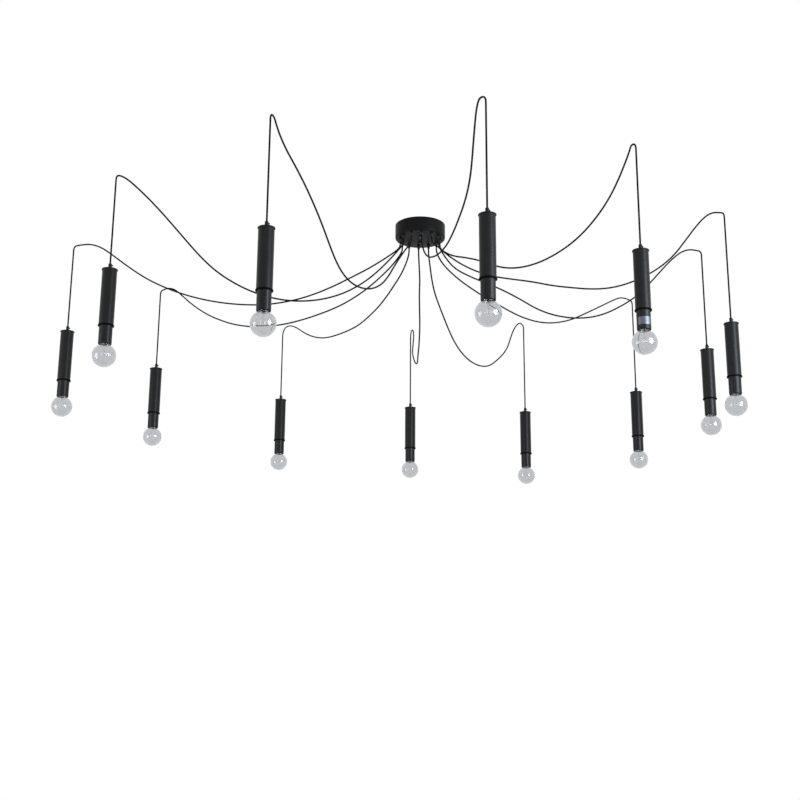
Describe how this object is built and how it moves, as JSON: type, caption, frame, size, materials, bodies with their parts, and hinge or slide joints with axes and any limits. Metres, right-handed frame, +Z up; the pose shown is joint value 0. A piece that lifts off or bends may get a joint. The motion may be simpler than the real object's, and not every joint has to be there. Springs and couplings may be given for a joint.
{
  "type": "swag cylinder pendant light",
  "caption": "Swagged ceiling light: a round canopy feeds cords that droop to separate ceiling points, each ending in a slim black cylinder pendant with a bare clear globe bulb.",
  "frame": {"origin": "centre of the ceiling bracket's two slots, on the ceiling plane, which is also the centre of the canopy's rim", "axes": "+Z up through the ceiling; +Y away from the viewer; the bracket's slots lie along Y"},
  "size_m": [2.5977, 2.4511, 0.776],
  "materials": {
    "canopy_black": "matte",
    "pendant_black": "matte",
    "gland_black": "satin",
    "cap_nut_black": "satin",
    "cord_black": "matte",
    "bracket_steel": "satin",
    "fastener_steel": "satin",
    "terminal_white": "satin",
    "terminal_brass": "satin",
    "lead_sheath": "satin",
    "bulb_glass": "polished"
  },
  "bodies": {
    "canopy": {"canopy_shell": "canopy_black", "cord_glands": "gland_black", "gland_locknuts": "gland_black", "ceiling_bracket": "bracket_steel", "canopy_studs": "fastener_steel", "stud_nuts": "fastener_steel", "cap_nuts": "cap_nut_black", "earth_screw": "terminal_brass", "terminal_block": "terminal_white", "terminal_screws": "terminal_brass", "inner_leads": "lead_sheath", "swag_cord_01": "cord_black", "swag_cord_02": "cord_black", "swag_cord_03": "cord_black", "swag_cord_04": "cord_black", "swag_cord_05": "cord_black", "swag_cord_06": "cord_black", "swag_cord_07": "cord_black", "swag_cord_08": "cord_black", "swag_cord_09": "cord_black", "swag_cord_10": "cord_black", "swag_cord_11": "cord_black", "swag_cord_12": "cord_black"},
    "hanging_01": {"drop_cord_01": "cord_black", "pendant_01": "pendant_black"},
    "lamp_01": {"globe_bulb_01": "bulb_glass"},
    "hanging_02": {"drop_cord_02": "cord_black", "pendant_02": "pendant_black"},
    "lamp_02": {"globe_bulb_02": "bulb_glass"},
    "hanging_03": {"drop_cord_03": "cord_black", "pendant_03": "pendant_black"},
    "lamp_03": {"globe_bulb_03": "bulb_glass"},
    "hanging_04": {"drop_cord_04": "cord_black", "pendant_04": "pendant_black"},
    "lamp_04": {"globe_bulb_04": "bulb_glass"},
    "hanging_05": {"drop_cord_05": "cord_black", "pendant_05": "pendant_black"},
    "lamp_05": {"globe_bulb_05": "bulb_glass"},
    "hanging_06": {"drop_cord_06": "cord_black", "pendant_06": "pendant_black"},
    "lamp_06": {"globe_bulb_06": "bulb_glass"},
    "hanging_07": {"drop_cord_07": "cord_black", "pendant_07": "pendant_black"},
    "lamp_07": {"globe_bulb_07": "bulb_glass"},
    "hanging_08": {"drop_cord_08": "cord_black", "pendant_08": "pendant_black"},
    "lamp_08": {"globe_bulb_08": "bulb_glass"},
    "hanging_09": {"drop_cord_09": "cord_black", "pendant_09": "pendant_black"},
    "lamp_09": {"globe_bulb_09": "bulb_glass"},
    "hanging_10": {"drop_cord_10": "cord_black", "pendant_10": "pendant_black"},
    "lamp_10": {"globe_bulb_10": "bulb_glass"},
    "hanging_11": {"drop_cord_11": "cord_black", "pendant_11": "pendant_black"},
    "lamp_11": {"globe_bulb_11": "bulb_glass"},
    "hanging_12": {"drop_cord_12": "cord_black", "pendant_12": "pendant_black"},
    "lamp_12": {"globe_bulb_12": "bulb_glass"}
  },
  "joints": [
    {"name": "pendant_swing_01", "type": "hinge", "parent": "canopy", "child": "hanging_01", "pos_m": [1.13483, 0.24093, -0.046], "axis": [-0.2176, 0.976, 0], "range_deg": [-20, 20]},
    {"name": "pendant_swing_02", "type": "hinge", "parent": "canopy", "child": "hanging_02", "pos_m": [0.97412, 0.8642, -0.046], "axis": [-0.67, 0.7423, 0], "range_deg": [-20, 20]},
    {"name": "pendant_swing_03", "type": "hinge", "parent": "canopy", "child": "hanging_03", "pos_m": [0.52103, 1.24305, -0.046], "axis": [-0.9237, 0.383, 0], "range_deg": [-20, 20]},
    {"name": "pendant_swing_04", "type": "hinge", "parent": "canopy", "child": "hanging_04", "pos_m": [-0.02306, 1.35073, -0.046], "axis": [-0.9999, -0.0145, 0], "range_deg": [-20, 20]},
    {"name": "pendant_swing_05", "type": "hinge", "parent": "canopy", "child": "hanging_05", "pos_m": [-0.6481, 1.32092, -0.046], "axis": [-0.9008, -0.4343, 0], "range_deg": [-20, 20]},
    {"name": "pendant_swing_06", "type": "hinge", "parent": "canopy", "child": "hanging_06", "pos_m": [-1.14028, 0.76717, -0.046], "axis": [-0.5644, -0.8255, 0], "range_deg": [-20, 20]},
    {"name": "pendant_swing_07", "type": "hinge", "parent": "canopy", "child": "hanging_07", "pos_m": [-1.38453, 0.22706, -0.046], "axis": [-0.1742, -0.9847, 0], "range_deg": [-20, 20]},
    {"name": "pendant_swing_08", "type": "hinge", "parent": "canopy", "child": "hanging_08", "pos_m": [-1.06212, -0.44505, -0.046], "axis": [0.3744, -0.9272, 0], "range_deg": [-20, 20]},
    {"name": "pendant_swing_09", "type": "hinge", "parent": "canopy", "child": "hanging_09", "pos_m": [-0.4801, -0.90218, -0.046], "axis": [0.8818, -0.4716, 0], "range_deg": [-20, 20]},
    {"name": "pendant_swing_10", "type": "hinge", "parent": "canopy", "child": "hanging_10", "pos_m": [0.17891, -1.02195, -0.046], "axis": [0.9835, 0.181, 0], "range_deg": [-20, 20]},
    {"name": "pendant_swing_11", "type": "hinge", "parent": "canopy", "child": "hanging_11", "pos_m": [0.68891, -0.71186, -0.046], "axis": [0.7081, 0.7061, 0], "range_deg": [-20, 20]},
    {"name": "pendant_swing_12", "type": "hinge", "parent": "canopy", "child": "hanging_12", "pos_m": [1.1236, -0.15103, -0.046], "axis": [0.1106, 0.9939, 0], "range_deg": [-20, 20]},
    {"name": "bulb_turn_01", "type": "hinge", "parent": "hanging_01", "child": "lamp_01", "pos_m": [1.13483, 0.24093, -0.68], "axis": [0, 0, 1], "continuous": true},
    {"name": "bulb_turn_02", "type": "hinge", "parent": "hanging_02", "child": "lamp_02", "pos_m": [0.97412, 0.8642, -0.692], "axis": [0, 0, 1], "continuous": true},
    {"name": "bulb_turn_03", "type": "hinge", "parent": "hanging_03", "child": "lamp_03", "pos_m": [0.52103, 1.24305, -0.695], "axis": [0, 0, 1], "continuous": true},
    {"name": "bulb_turn_04", "type": "hinge", "parent": "hanging_04", "child": "lamp_04", "pos_m": [-0.02306, 1.35073, -0.65], "axis": [0, 0, 1], "continuous": true},
    {"name": "bulb_turn_05", "type": "hinge", "parent": "hanging_05", "child": "lamp_05", "pos_m": [-0.6481, 1.32092, -0.622], "axis": [0, 0, 1], "continuous": true},
    {"name": "bulb_turn_06", "type": "hinge", "parent": "hanging_06", "child": "lamp_06", "pos_m": [-1.14028, 0.76717, -0.625], "axis": [0, 0, 1], "continuous": true},
    {"name": "bulb_turn_07", "type": "hinge", "parent": "hanging_07", "child": "lamp_07", "pos_m": [-1.38453, 0.22706, -0.626], "axis": [0, 0, 1], "continuous": true},
    {"name": "bulb_turn_08", "type": "hinge", "parent": "hanging_08", "child": "lamp_08", "pos_m": [-1.06212, -0.44505, -0.614], "axis": [0, 0, 1], "continuous": true},
    {"name": "bulb_turn_09", "type": "hinge", "parent": "hanging_09", "child": "lamp_09", "pos_m": [-0.4801, -0.90218, -0.646], "axis": [0, 0, 1], "continuous": true},
    {"name": "bulb_turn_10", "type": "hinge", "parent": "hanging_10", "child": "lamp_10", "pos_m": [0.17891, -1.02195, -0.649], "axis": [0, 0, 1], "continuous": true},
    {"name": "bulb_turn_11", "type": "hinge", "parent": "hanging_11", "child": "lamp_11", "pos_m": [0.68891, -0.71186, -0.637], "axis": [0, 0, 1], "continuous": true},
    {"name": "bulb_turn_12", "type": "hinge", "parent": "hanging_12", "child": "lamp_12", "pos_m": [1.1236, -0.15103, -0.697], "axis": [0, 0, 1], "continuous": true}
  ]
}
